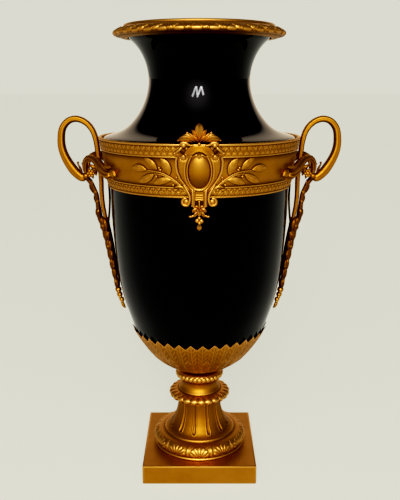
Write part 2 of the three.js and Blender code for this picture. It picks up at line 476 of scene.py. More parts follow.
def makeFoot():
    base = nodeBox("foot")[0][2]
    fine = foot["fine"]
    line = outline(
        (0, 0),
        (foot["hidden"], [(53.8, 0)]),
        (fine, [(54.5, 0.7), (54.5, 1.5), (54, 2.3)]),
        (fine, [(53.1, 2.9)]),
        (fine, [(54.2, 5.2), (54.5, 8.2), (53.6, 11.6), (51, 14.2), (47.6, 15.6), (44.6, 16)]),
        (fine, [(43, 16.4)]),
        (fine, [(42.3, 16.8), (41.8, 17.5), (41.2, 18.4)]),
        (fine, [(39.8, 18.8)]),
        (foot["bell"], [(36, 20.8), (32.8, 24.4), (30.2, 29), (27.8, 35.6), (26.1, 42),
                        (25.1, 49), (24.8, 57.2)]),
        (foot["hidden"], [(0, 57.2)]),
    )
    line[:, 1] += base

    def relief(angle, run, radius, height):
        up = height - base
        start = run[np.argmin(np.abs(radius - 53) + np.abs(up - 2.9))]
        rise = run - start
        onTorus = fade(rise, 0.3, 1.2) * (1 - fade(rise, 14, 16)) * (up < 16.1) * (radius > 42)
        # fans on the torus: round ribs spread from a low centre
        across = fromNearest(angle, foot["fans"], math.radians(foot["fanPhase"])) * radius
        reach = np.hypot(across, rise - 0.6)
        turn = np.degrees(np.arctan2(across, np.maximum(rise - 0.6, 0.01)))
        rib = np.abs(np.cos(np.radians(turn / foot["fanSpread"] * foot["fanLobes"] * 180))) ** 0.7
        edge = foot["fanReach"] * (0.86 + 0.14 * rib) * (1 - 0.18 * (turn / 75) ** 2)
        fan = fade(edge - reach, -0.2, 1.2) * fade(foot["fanSpread"] / 2 + 6 - np.abs(turn), 0, 8)
        lift = foot["fanHeight"] * fan * (0.1 + 0.9 * rib) * fade(reach, 1.6, 4.5)
        lift += 0.9 * dome(reach / 2.1)
        # a slim leaf between fans
        half = math.radians(foot["fanPhase"] + 180 / foot["fans"])
        between = fromNearest(angle, foot["fans"], half) * radius
        breadth = 1.7 * np.clip(np.sin(np.clip(rise / 14, 0, 1) * math.pi), 0.01, 1) ** 0.7
        lift = np.maximum(lift, 0.55 * dome(between / breadth)) * onTorus
        # hollow flutes up the bell, each with a fine raised edge and a round lower end
        across = fromNearest(angle, foot["flutes"], math.radians(foot["flutePhase"])) * radius
        half = foot["fluteHalfWidth"] * (0.55 + 0.45 * (radius - 24) / 10)
        below = np.clip(foot["fluteEnd"] + 2 - up, 0, None) * 1.25
        outside = np.hypot(across, below) - half
        onBell = fade(up, 18.6, 20.4) * (radius < 41)
        lift -= foot["fluteDepth"] * fade(-outside, 0, 1.6) * onBell
        lift += foot["fluteRim"] * crease(outside - 0.2, 0.55) * onBell
        return lift

    # painted shade: the bell above the torus is painted darker, toning down where the key light falls full
    # on its front
    def bellShade(points, normals):
        return -0.16 * fade(points[:, 2] - base, 17, 24)

    piece = turned("footCasting", line, foot["around"], relief)
    markWearAndShade(piece, 1.3, bellShade)
    finishPiece(piece, "foot")


knop = {
    "around": 480, "fine": 0.75, "hidden": 8,
    "lobes": 24, "lobeHeight": 1.3, "lobePhase": 4,
    "beads": 32, "beadPhase": 0, "beadHeight": 1.2,
}


def makeKnop():
    base = nodeBox("knop")[0][2]
    fine = knop["fine"]
    line = outline(
        (0, 0),
        (knop["hidden"], [(25.4, 0)]),
        (fine, [(29.6, 0.8), (33, 2.4), (35, 4.4), (35.5, 6.2), (34, 8), (31, 9.2), (28, 9.8),
                (25.8, 10)]),
        (fine, [(25.2, 10.2), (24.9, 10.9), (24.3, 11.6)]),
        (fine, [(22.4, 14.2), (21.4, 17.2), (21.4, 20.2), (22.4, 23.2), (24.4, 25.2)]),
        (fine, [(25.8, 25.8)]),
        (fine, [(26.8, 27.6), (27.2, 30), (26.8, 32.6), (25.6, 34)]),
        (2, [(21, 34.7)]),
        (knop["hidden"], [(0, 34.7)]),
    )
    line[:, 1] += base

    def relief(angle, run, radius, height):
        up = height - base
        step = fullTurn / knop["lobes"]
        off = fromNearest(angle, knop["lobes"], math.radians(knop["lobePhase"]))
        lobe = np.cos(math.pi * off / step) ** 0.6
        onFlange = fade(radius, 26.5, 33) * (up < 10.2)
        lift = knop["lobeHeight"] * (lobe - 0.6) * onFlange
        # each lobe turns under in a small bright drop
        low = np.hypot(off * radius / 2.7, (up - 3.4) / 2.4)
        lift += 0.55 * dome(low) * (radius > 30) * (up < 7)
        # the bead ring
        off = fromNearest(angle, knop["beads"], math.radians(knop["beadPhase"]))
        size = math.pi * 27 / knop["beads"] * 0.97
        near = np.hypot(off * radius / size, (up - 29.8) / 2.9)
        lift += knop["beadHeight"] * dome(near) * (up > 25) * (radius > 25)
        return lift

    piece = turned("knopCasting", line, knop["around"], relief)
    finishPiece(piece, "knop", 50, 1.6)


vase = {"around": 200, "step": 3.2, "fine": 0.9}


def makeVase():
    step = vase["step"]
    fine = vase["fine"]
    line = outline(
        (0, 118.4),
        (step, [(12, 118.6)]),
        (step, [(22, 121), (34, 126.4), (46.8, 134.7), (57.2, 145), (66.4, 157.4), (74.8, 171),
                (79.8, 185), (84.6, 200), (88.8, 216), (92.3, 235), (95.1, 260), (97.1, 285), (98.4, 310),
                (98.9, 328), (99.1, 338)]),
        (6, [(105, 383)]),
        (fine, [(105.2, 386), (104.4, 388.8), (101.6, 390.6)]),
        (step, [(96, 392.2), (90, 394), (83.8, 396.6), (78.4, 400), (70.6, 407.8),
                (62.6, 419.6), (56.8, 434.4), (54.7, 448), (55.2, 456.4), (57, 465.2), (60, 473.2),
                (64, 480.4), (69, 486.6), (74.6, 491.8), (76.8, 495.6), (77.4, 498.4)]),
        (fine, [(77, 499.6), (75.4, 499.8), (73.4, 499.4), (72.4, 497.8)]),
        # the inside of the neck, then of the belly
        (step, [(70.4, 494.6), (65.4, 490), (60.4, 484), (56, 476), (52.4, 466), (50.2, 455.4),
                (49.7, 446), (51.4, 436), (57.4, 421.4), (65.6, 409.4), (74.6, 400.2), (84.4, 392.6),
                (94.6, 387.6), (98.4, 384)]),
        (step * 2, [(99.4, 380), (98.6, 372), (94.4, 340), (93.6, 326), (92.2, 290), (90, 258),
                    (86.8, 232), (81.8, 209), (75.4, 188), (68, 171.6), (56.6, 153.8), (43, 139.4),
                    (28, 129.4), (14, 124.6), (0, 123.6)]),
    )
    piece = turned("porcelainVase", line, vase["around"])
    finishPiece(piece, "vase_body", 60, material=darkGlaze)


cup = {
    "leaves": 38, "phase": 2.7, "columns": 20, "rows": 54, "insideRows": 10,
    "tip": 174.6, "notch": 167.6, "backTip": 170, "thick": 1.1,
    "bladeHeight": 0.55, "veinHeight": 0.085, "ribHeight": 0.26, "streakHeight": 0.04,
    "lowLeaves": 19, "lowTop": 40, "lowHeight": 0.36,
}


def cupOutside():
    base = nodeBox("calyx")[0][2]
    line = outline(
        (0, 0),
        (1, [(14.5, 0)]),
        (0.5, [(21.3, 1.9), (34.6, 7.9), (48, 17.2), (58.7, 28), (68.3, 41.2), (75, 52.4),
               (77.9, 58.4), (79.8, 62.8)]),
    )
    line[:, 1] += base
    return line


def cupBlades(name, top, columns, rows, insideRows, lift, inset):
    # one ring of leaf blades, outside and inside, whose upper edge follows top(angle)
    line = cupOutside()
    radii, heights = line[:, 0], line[:, 1]
    flat = len(radii[heights <= heights[0] + 1e-6]) - 1
    slope = unit(np.gradient(line, axis=0))
    places = np.arange(len(radii))

    def shape(u, v):
        angle = u * fullTurn
        crown = top(angle)
        row = np.rint(v * (rows + insideRows))
        outer = row <= rows
        t = np.where(outer, row / rows, (rows + insideRows - row) / insideRows)
        at = t * np.interp(crown, heights[flat:], places[flat:])
        radius = np.interp(at, places, radii)
        height = np.interp(at, places, heights)
        push = np.where(outer, lift(angle, radius, height, crown), -cup["thick"] * fade(t, 0, 0.06)) - inset
        push = push * fade(radius, 1, 12)
        radius = radius + np.interp(at, places, slope[:, 1]) * push
        height = height - np.interp(at, places, slope[:, 0]) * push
        return np.stack([radius * np.sin(angle), -radius * np.cos(angle), height], axis=1)

    return gridPiece(name, cup["leaves"] * columns, rows + insideRows, shape)


def makeCup():
    step = fullTurn / cup["leaves"]
    phase = math.radians(cup["phase"])

    def top(angle):
        off = np.abs(fromNearest(angle, cup["leaves"], phase)) / (step / 2)
        return cup["tip"] - (cup["tip"] - cup["notch"]) * off ** 1.1

    def lift(angle, radius, height, crown):
        off = fromNearest(angle, cup["leaves"], phase)
        part = np.abs(off) / (step / 2)
        blade = cup["bladeHeight"] * dome(part * 0.98) * fade(height, 122, 140)
        vein = np.cos(fullTurn * ((crown - height) / 6.5 + part * 2.4))
        blade += cup["streakHeight"] * np.cos(6 * math.pi * part) * fade(height, 124, 134)
        onBlade = fade(part, 0.1, 0.3) * (1 - fade(part, 0.8, 1)) * fade(height, 134, 150)
        blade += cup["veinHeight"] * vein * onBlade
        blade += cup["ribHeight"] * crease(off * radius, 0.8) * fade(height, 126, 136)
        # a lower row of broad lobed leaves rises from the seat and laps over the blades
        wide = fullTurn / cup["lowLeaves"]
        low = fromNearest(angle, cup["lowLeaves"], phase + wide / 4)
        side = np.abs(low) / (wide / 2)
        rise = (height - 116) / cup["lowTop"]
        lobe = 0.5 + 0.5 * np.cos(fullTurn * (rise * 4.2 - side * 0.8))
        limit = (1.04 - 0.9 * np.clip(rise, 0, 1) ** 2.2) * (0.88 + 0.12 * lobe)
        inside = fade(limit - side, 0, 0.3) * (1 - fade(rise, 0.8, 1))
        broad = cup["lowHeight"] * dome(side * 0.9) + 0.1 * lobe + 0.16 * crease(low * radius, 0.9)
        return blade + broad * inside * fade(rise, 0.02, 0.2)

    def backTop(angle):
        off = np.abs(fromNearest(angle, cup["leaves"], phase + step / 2)) / (step / 2)
        return cup["backTip"] - 9 * off

    def backLift(angle, radius, height, crown):
        off = fromNearest(angle, cup["leaves"], phase + step / 2)
        return 0.3 * crease(off * radius, 0.6) - 0.2

    front = cupBlades("cupBlades", top, cup["columns"], cup["rows"], cup["insideRows"], lift, 0.4)
    behind = cupBlades("cupTips", backTop, 8, 12, 4, backLift, 0.9)
    piece = joined("leafCup", [front, behind])
    finishPiece(piece, "calyx", 50, 1.3)


rim = {
    "motifs": 34, "phase": 3.8, "columns": 26, "fine": 0.62, "hidden": 3,
    "ribs": 5, "spread": 80, "reach": 12.8, "palmette": 1.0,
}


def makeRim():
    fine = rim["fine"]
    line = outline(
        (76.4, 491.7),
        (1, [(79.6, 491.5), (83, 492.1), (86, 493.4)]),
        (fine, [(87, 493.3)]),
        (fine, [(89.6, 494.6), (90.7, 496.2), (90.3, 497.5), (88.6, 498.8), (85.6, 500.6),
                (82.4, 502.3)]),
        (fine, [(80.6, 502.9)]),
        (fine, [(80.2, 503.6), (79.6, 505), (78.2, 505.6)]),
        (fine * 2, [(71.8, 505.6)]),
        (fine, [(70.7, 505), (70.3, 503.6), (70.6, 500.5)]),
        (rim["hidden"], [(78.2, 500.4)]),
        (rim["hidden"], [(77.4, 495.4), (76.4, 491.7)]),
    )

    def relief(angle, run, radius, height):
        start = run[np.argmin(np.abs(radius - 87) + np.abs(height - 493.3))]
        rise = run - start
        step = fullTurn / rim["motifs"]
        off = fromNearest(angle, rim["motifs"], math.radians(rim["phase"])) * radius
        onBand = fade(rise, 0.1, 0.8) * (1 - fade(rise, 13, 14)) * (height > 493.2) * (radius > 81.4)
        # fine-ribbed palmettes stand on the lip, with smooth eggs between their feet
        turn = np.degrees(np.arctan2(off, np.maximum(rise - 1, 0.01)))
        reach = np.hypot(off, rise - 1)
        rib = np.abs(np.cos(np.radians(turn / rim["spread"] * rim["ribs"] * 180)))
        fan = fade(rim["reach"] * (0.88 + 0.12 * rib) - reach, 0, 0.9)
        fan *= fade(rim["spread"] / 2 - np.abs(turn), 0, 5)
        lift = rim["palmette"] * fan * (0.1 + 0.9 * rib) * fade(reach, 1.5, 5)
        between = fromNearest(angle, rim["motifs"], math.radians(rim["phase"]) + step / 2) * radius
        egg = np.hypot(between / 5.2, (rise - 4.4) / 3.4)
        lift = np.maximum(lift, 0.6 * dome(egg))
        return lift * onBand

    def bandShade(points, normals):
        # painted light: the sloping band is painted brighter than the underside, standing in for light from
        # above and behind
        return 0.3 * fade(points[:, 2], 497, 499.5) - 0.04

    piece = turned("rimRing", line, rim["motifs"] * rim["columns"], relief)
    markWearAndShade(piece, 1.6, bandShade)
    finishPiece(piece, "rim_mount")


belt = {
    "beads": 108, "columns": 10, "border": 0.72, "field": 2.6, "hidden": 6,
    "beadHeight": 0.34, "tongueHeight": 0.27, "petalHeight": 0.34, "unrolled": 105,
}


def beltFace(height):
    return np.interp(height, [337, 349, 378, 390], [101.2, 103, 107.7, 109.4])


def onBelt(points, turn=0):
    # wraps flat points (x along the belt, -y outwards, z up) round the belt
    angle = points[:, 0] / belt["unrolled"] + turn
    radius = beltFace(points[:, 2]) - points[:, 1]
    return np.stack([radius * np.sin(angle), -radius * np.cos(angle), points[:, 2]], axis=1)


def frontShade(base, edge=0.5, low=0.1, high=0.62):
    # painted shade: the sides of flat ornament, turned away from the front, are painted dark, so that each
    # leaf stands off its ground
    def shade(points, normals):
        return base - edge * (1 - fade(-normals[:, 1], low, high))

    return shade


# places on the unrolled belt: x along it, z up
spray = {
    "stem": [(9, 338.6), (14.2, 345.2), (22.7, 353.4), (30.3, 358.7), (38, 361.8), (45, 362.9),
             (53.3, 363.5)],
    "shoot": [(18, 348.2), (24.6, 353.4), (32, 357.9), (39, 360.2), (45.4, 360.2)],
    "leaves": [
        ((29, 359), (31.4, 368), (37, 376.4), 9),
        ((40.8, 364), (46.6, 370.2), (54.6, 376), 7.4),
        ((52.6, 363.6), (62, 365.2), (71.8, 364.8), 8),
        ((44.6, 360.4), (53, 355.6), (64.6, 350.8), 8.2),
        ((26.6, 355), (36.8, 354), (47.6, 350), 7.6),
        ((13, 344.6), (18.6, 348.6), (26, 346.8), 4),
    ],
    "berries": [(39, 366.6), (37.8, 364.6), (42.8, 357.8), (25.6, 350.2), (22, 357.8)],
}


def makeSpray(name):
    stems = [
        tube([(x, -0.8, z) for x, z in spray["stem"]], [1.1, 1.1, 0.9, 0.7], around=8),
        tube([(x, -0.6, z) for x, z in spray["shoot"]], [0.7, 0.8, 0.6], around=8),
    ]
    for x, z in spray["berries"]:
        stems.append(ball((x, -0.8, z), 1.4, 14, 8))
        nearest = min(spray["stem"], key=lambda place: abs(place[0] - x) + abs(place[1] - z))
        stems.append(tube([(x, -0.5, z), (nearest[0], -0.5, nearest[1])], 0.5, around=6))
    leaves = []
    for *places, width in spray["leaves"]:
        path = [(x, -out, z) for (x, z), out in zip(places, (0.3, 0.9, 0.4))]
        leaves.append(leaf(path, (0, -1, 0), width, 1.4, peak=0.5, ridge=0.2, veins=3, along=24))
    # painted shade on the sides of the stems and leaves; the stems are given a slightly lighter tone
    bright = markWearAndShade(joined("sprayStems", stems), 0.6, frontShade(0.06, 0.36))
    dark = markWearAndShade(joined("sprayLeaves", leaves), 0.8, frontShade(0.0, 0.6, 0.6, 0.92))
    return joined(name, [dark, bright])


def makeBelt():
    border = belt["border"]
    line = outline(
        (99.5, 337),
        (border, [(100.1, 336.8), (101, 337.4), (101.3, 338.3)]),
        (border, [(100.9, 338.9)]),
        (border, [(101.5, 342), (102, 346.4)]),
        (border, [(102.9, 346.9)]),
        (border, [(102.9, 347.9)]),
        (border, [(102.5, 348.2)]),
        (belt["field"], [(107.2, 376.4)]),
        (border, [(108, 376.8)]),
        (border, [(108.2, 377.8)]),
        (border, [(107.9, 378.3)]),
        (border, [(109.2, 387.6)]),
        (border, [(109.9, 388.1)]),
        (border, [(110.2, 389.2), (109.8, 390.2), (108.8, 390.3)]),
        (1, [(107, 390)]),
        (belt["hidden"], [(106.3, 385), (99.6, 338), (99.5, 337)]),
    )

    def relief(angle, run, radius, height):
        outside = radius > np.interp(height, [336, 391], [100.3, 107.6])
        step = fullTurn / belt["beads"]
        off = fromNearest(angle, belt["beads"]) * radius
        half = fromNearest(angle, belt["beads"], step / 2) * radius
        # both borders carry small slanting leaves, uneven as if cut by hand, and a row of low beads
        centre = np.where(height > 365, 384.9, 342.8)
        drift = 1.1 * np.sin(43 * angle) + 0.9 * np.cos(71 * angle + height)
        lean = np.cos(2 * belt["beads"] * angle + 1.2 * np.abs(height - centre) + drift)
        lean = lean * np.cos(1.9 * (height - centre) + 1.4 * np.sin(31 * angle) + 0.8)
        upper = dome((height - 384.9) / 2.7)
        lower = dome((height - 342.8) / 3.2)
        lift = belt["tongueHeight"] * lean * (upper + lower)
        beads = dome(np.hypot(off / 2.5, (height - 385.2) / 2.1))
        beads += dome(np.hypot(half / 2.6, (height - 341.6) / 2.2))
        lift += belt["beadHeight"] * beads
        # small scallops on the inner side of each border
        rise = (height - 378.4) / 3.4
        petal = dome(half / (3.0 * np.clip(1.02 - rise, 0.05, 1) ** 0.4))
        lift += belt["petalHeight"] * petal * fade(rise, 0, 0.1) * (1 - fade(rise, 0.92, 1.02))
        fall = (346.4 - height) / 2.2
        drops = dome(off / (2.6 * np.clip(1.02 - fall, 0.05, 1) ** 0.4))
        lift += 0.35 * drops * fade(fall, 0, 0.1) * (1 - fade(fall, 0.9, 1.02))
        return lift * outside

    ring = turned("beltRing", line, belt["beads"] * belt["columns"], relief)
    markWearAndShade(ring, 1.7)
    right = makeSpray("spray")
    sprays = [
        copied(right, "sprayLeft", lambda p: onBelt(p * (-1, 1, 1))),
        copied(right, "sprayBackRight", lambda p: onBelt(p, math.pi)),
        copied(right, "sprayBackLeft", lambda p: onBelt(p * (-1, 1, 1), math.pi)),
    ]
    reshaped(right, onBelt)
    piece = joined("shoulderBelt", [ring, right, *sprays])
    finishPiece(piece, "belt")


shield = {
    "middle": 364, "ovalWide": 10.6, "ovalTall": 16.6, "ovalProud": 4.6,
    "outline": [(328.4, 4), (329.4, 7.4), (333, 8.6), (338, 8.8), (341.4, 9.4), (344, 10.6), (347.4, 12.9),
                (352, 16.4), (357, 20), (363, 22.6), (369, 23.6), (374, 23.6), (377.8, 22.6), (379.2, 19.4),
                (380, 14.6), (382, 13.8), (384.6, 12.6), (387, 10.2), (388.8, 6.4), (389.6, 2.4)],
    "columns": 150, "rows": 124, "window": (2.6, 332.8, 1.7, 2.5),
}


def plateBack(height):
    return np.interp(height, [330, 336, 348, 377.4, 381, 391], [102, 102.4, 103.4, 108.8, 111, 111])


def onFront(points, side=1):
    # lays flat points (x across, -y outwards, z up) on the belt's front, or with side -1 on its back
    back = plateBack(points[:, 2])
    y = -np.sqrt(np.maximum(back**2 - points[:, 0] ** 2, 1)) + points[:, 1]
    return np.stack([points[:, 0] * side, y * side, points[:, 2]], axis=1)


def shieldPlate():
    # the strapwork shield in relief: a rolled rim, a broad swelling band, a hollow, and a ringed oval
    heights, widths = np.array(shield["outline"]).T

    def shape(u, v):
        z = heights[0] + v * (heights[-1] - heights[0])
        wide = np.where((v <= 0) | (v >= 1), 0, np.interp(z, heights, widths))
        front = u <= 0.8
        s = np.where(front, u / 0.4 - 1, 1 - (u - 0.8) / 0.1)
        x = s * wide
        fromEdge = (wide - np.abs(x)) * 0.9
        ring = np.hypot(x / shield["ovalWide"], (z - shield["middle"]) / shield["ovalTall"])
        out = 1.3 + 0 * z
        above = fade(z, 343, 347)
        out += 1.1 * dome((fromEdge - 1.1) / 1.3) * fade(382 - z, 0, 2) * above
        band = dome((fromEdge - 7.4) / 4.4) * fade(ring, 1.14, 1.34)
        out += 2.0 * band * fade(378 - z, -2, 5) * above
        # the smooth hood over the oval
        hood = dome(np.hypot(x / 14.5, (z - 379) / 11))
        out += 1.1 * hood * fade(z, 374, 381) * fade(ring, 1.08, 1.2)
        out += 0.9 * (1 - fade(ring, 1.16, 1.5)) * above
        out += 0.8 * dome((ring - 1.11) / 0.07) * (z < 379)
        out -= 0.9 * (1 - fade(ring, 0.97, 1.03))
        out += shield["ovalProud"] * dome(ring) ** 1.2
        # flat straps run down to the windows, with a stepped panel between them
        side = np.abs(x)
        out += 1.0 * (1 - above) * fade(side, 3.9, 4.4) * (1 - fade(side, 7.6, 8.4))
        out += 0.25 * (1 - above) * (side < 3.7) * (z > 334.4) * np.clip(np.cos(fullTurn * z / 2.6), 0, 1)
        across, middle, halfWide, halfTall = shield["window"]
        hole = np.maximum(np.abs(side - across) / halfWide, np.abs(z - middle) / halfTall)
        out = np.where(hole < 1, 0.15, out)
        out = np.where(front, out, -0.1)
        out = np.where(np.abs(s) > 0.999, 0.1, out)
        out = np.where((v <= 0) | (v >= 1), 0.5, out)
        return np.stack([x, -out, z], axis=1)

    # painted shade: the lower oval and the hood above it are painted darker over their highlights, and the
    # windows are painted dark for the openings they stand for
    def plateShade(points, normals):
        x, _, z = points.T
        ring = np.hypot(x / shield["ovalWide"], (z - shield["middle"]) / shield["ovalTall"])
        dark = 0.26 * (1 - fade(z, 350, 368)) * (ring < 1) + 0.3 * fade(z, 378, 384)
        across, middle, halfWide, halfTall = shield["window"]
        hole = np.maximum(np.abs(np.abs(x) - across) / halfWide, np.abs(z - middle) / halfTall) < 1.1
        return 0.02 - dark - 0.6 * hole

    return markWearAndShade(gridPiece("shieldPlate", shield["columns"], shield["rows"], shape), 1.7, plateShade)


def frontBlade(points, wide, thick=1.6, peak=0.6, along=18, side=1):
    # a leaf on the shield; each point is across, outwards and up
    return leaf([(side * x, -out, z) for x, out, z in points], (0, -1, 0), wide, thick, peak, along=along)


crest = {
    "root": (0, 1.6, 391.6),
    "middle": [(0, 1.6, 390.4), (0, 3.8, 400), (0, 3.4, 410.3)],
    # the lean, reach and width of the narrow leaves beside the middle one
    "narrow": [(14, 14.6, 3.6), (27, 14.4, 4.2), (44, 10.6, 3.4)],
    # the width, thickness and points of the leaves that spread sideways
    "spread": [
        (5.6, 2.2, [(2, 1.8, 391.4), (10, 3, 396.6), (20.6, 2, 393.6)]),
        (5.4, 1.6, [(3, 2, 391.8), (8.8, 3.4, 397.6), (15.6, 2.8, 398.4)]),
        (4, 1.6, [(3, 2.2, 392), (7.2, 3.6, 397.6), (11.6, 3, 401.4)]),
        (3.2, 1.6, [(5, 1.4, 391.4), (9.6, 2.2, 393.8), (15, 1.6, 392.6)]),
    ],
}


def crestLeaves():
    parts = [frontBlade(crest["middle"], 8.4, 3, 0.72)]
    for side in (-1, 1):
        for lean, reach, wide in crest["narrow"]:
            a = math.radians(lean)
            middle = (reach * 0.45 * math.sin(a), 3, 391.5 + reach * 0.55 * math.cos(a))
            tip = (reach * 1.1 * math.sin(a), 2.6, 391.5 + reach * math.cos(a))
            parts.append(frontBlade([crest["root"], middle, tip], wide, side=side))
        for wide, thick, points in crest["spread"]:
            parts.append(frontBlade(points, wide, thick, side=side))
        parts.append(ball((side * 11.2, -3.2, 400.9), 1.3, 12, 8))
        parts.append(ball((side * 19.6, -2.4, 393.9), (1.4, 1, 1), 12, 8))
    parts.append(ball((0, -3, 390.8), 1.5, 12, 8))
    return parts


def shieldScrolls():
    parts = []
    for side in (-1, 1):
        def bar(points, radius, around=12):
            parts.append(tube([(side * x, -out, z) for x, out, z in points], radius, around=around))

        def knob(x, out, z, radii):
            parts.append(ball((side * x, -out, z), radii, 18, 10))

        # the arched top moulding, its scroll head and the arm that runs down outside the shoulder
        bar([(5, 1.6, 389), (9.4, 2.2, 389.6), (13.4, 2.8, 391.6), (16.8, 2.6, 391), (17, 2.6, 388.4)],
            [0.9, 1.2, 1.7, 1.9, 1.6])
        knob(14.8, 3, 389.4, (2.4, 1.9, 2.4))
        bar([(16, 1.6, 388), (19, 1.8, 385), (23.6, 1.4, 381.6)], [1.8, 1.6, 1])
        knob(23.4, 1.6, 381.6, 1.3)
        # a flat disc in the eyelet, painted dark as painted shade for its opening, and the bright knob in
        # the shoulder
        knob(15.6, 0.9, 383.6, (2.7, 1, 2.6))
        knob(15.2, 2.6, 377.6, (2.7, 2.2, 2.7))
        bar([(12.4, 1.6, 382), (12, 2, 378.4), (13, 2.2, 375), (16, 2.2, 374), (19, 2, 376.4)],
            [0.7, 0.8, 0.7], 10)
        # the edge strap that runs down into the lower volute
        bar([(15.4, 1.6, 351.6), (12.2, 2.2, 346), (9.6, 2.4, 340.6), (9.4, 2.6, 335), (11.6, 2.6, 330.8),
             (15.6, 2.4, 331.4), (16.4, 2.4, 335.4), (14, 2.4, 337.6), (11.8, 2.2, 336)],
            [0.9, 1.3, 1.4, 1.5, 1.3], 14)
        knob(12.9, 2, 334.2, (2.6, 1.4, 2.8))
        # the flat straps beside the windows
        bar([(7, 1.8, 347.4), (6.2, 2.4, 341), (6.2, 2.4, 335), (5.8, 2.2, 330), (3.6, 2, 328)],
            [1, 1.3, 1.3, 1.3, 1])
    return parts


drop = {
    # the radii, place and fineness of the balls down the middle, from the top
    "boss": ((3.4, 2.2, 3.6), (0, -2, 324.4)),
    "grapes": [
        ((1.9, 1.7, 1.8), (0, -3.6, 318.6), 14, 8),
        ((2.3, 2, 2.5), (-2, -2.4, 315.8), 16, 10),
        ((2.3, 2, 2.5), (2.1, -2.4, 315.4), 16, 10),
        ((1.8, 1.6, 1.9), (0.2, -3.2, 313.6), 14, 8),
    ],
    # the width and points of the leaves that curl out on each side
    "sideLeaves": [
        (4, [(0.8, 2.2, 327.4), (4.2, 3.4, 326.8), (6.6, 2.6, 323.4)]),
        (3.6, [(0.6, 2.6, 325), (3.4, 3.8, 322.8), (5.2, 2.8, 319)]),
        (2.8, [(0.6, 2, 328), (2.6, 3, 329.8), (4.6, 2, 328.6)]),
    ],
    "curl": [(3, -2, 322.4), (6, -2.4, 320.6), (8.8, -2.4, 319.6)],
}


def shieldDrop():
    radii, place = drop["boss"]
    parts = [
        tube([(-5, -1.8, 337), (0, -2, 336.6), (5, -1.8, 337)], 0.7, around=10),
        tube([(0, -1.4, 336), (0, -1.8, 331), (0, -1.6, 326)], [0.7, 0.8, 0.9], around=10),
        ball(place, radii),
        frontBlade([(0, 3, 327.8), (0, 4.6, 324), (0, 3.6, 319.4)], 3.8, 1.3, 0.5, 16),
    ]
    parts.extend(ball(place, radii, *fineness) for radii, place, *fineness in drop["grapes"])
    parts.append(frontBlade([(0, 1.6, 312.6), (0, 3, 309), (0, 2.2, 305.8)], 5, 2, 0.5, 16))
    for side in (-1, 1):
        for wide, points in drop["sideLeaves"]:
            parts.append(frontBlade(points, wide, 1.3, 0.5, 16, side))
        parts.append(tube([(side * x, y, z) for x, y, z in drop["curl"]], [0.9, 1, 1.3], around=10))
        parts.append(ball((side * 8.8, -2.5, 319.8), (1.7, 1.4, 1.3), 14, 8))
    return parts


def makeCartouche():
    ornaments = [*crestLeaves(), *shieldScrolls(), *shieldDrop()]
    # a little crown of leaves over the oval
    ornaments.append(frontBlade([(0, 3.2, 382), (0, 4, 379.6), (0, 4.4, 376.2)], 3.4, 0.7, along=14))
    for side in (-1, 1):
        path = [(0.6, 3, 380.6), (3.6, 3.6, 379.8), (7, 3, 376.6)]
        ornaments.append(frontBlade(path, 1.9, 0.6, 0.5, 16, side))
    sides = frontShade(0.0, 0.42)

    def detailShade(points, normals):
        # painted shade: the disc in each eyelet is painted dark for the opening it stands for, on top of the
        # painted shade on the ornament's sides
        eyelet = np.hypot(np.abs(points[:, 0]) - 15.6, points[:, 2] - 383.6) < 2.8
        return sides(points, normals) - 0.7 * eyelet * (points[:, 1] > -1.95)

    detail = markWearAndShade(joined("shieldDetail", ornaments), 1.2, detailShade)
    piece = reshaped(joined("frontCartouche", [shieldPlate(), detail]), onFront)
    finishPiece(piece, "cartouche", 55)


medallion = {"wide": 16.6, "tall": 20.6, "thick": 1.6, "columns": 120, "rows": 40}


def makeBackMedallion():
    middle = shield["middle"]

    def plate(u, v):
        a = u * fullTurn
        front = v <= 0.8
        reach = np.where(front, v / 0.8, (1 - v) / 0.2)
        ring = reach * 1.02
        scallop = 1 + 0.025 * np.cos(a * 20) * fade(reach, 0.8, 1)
        out = medallion["thick"] + 0.9 * dome((ring - 0.88) / 0.1)
        out += 0.7 * dome((ring - 0.68) / 0.06)
        out += 2.4 * dome(ring / 0.6)
        out = np.where(front, out * (1 - fade(reach, 0.97, 1.001)), -0.1)
        out = np.where(reach > 0.999, 0, out)
        return np.stack([np.sin(a) * medallion["wide"] * reach * scallop, -out,
                         middle - np.cos(a) * medallion["tall"] * reach * scallop], axis=1)

    disc = gridPiece("backMedallion", medallion["columns"], medallion["rows"], plate)
    reshaped(disc, lambda p: onFront(p, -1))
    finishPiece(disc, "back_medallion", 55, 1.2)


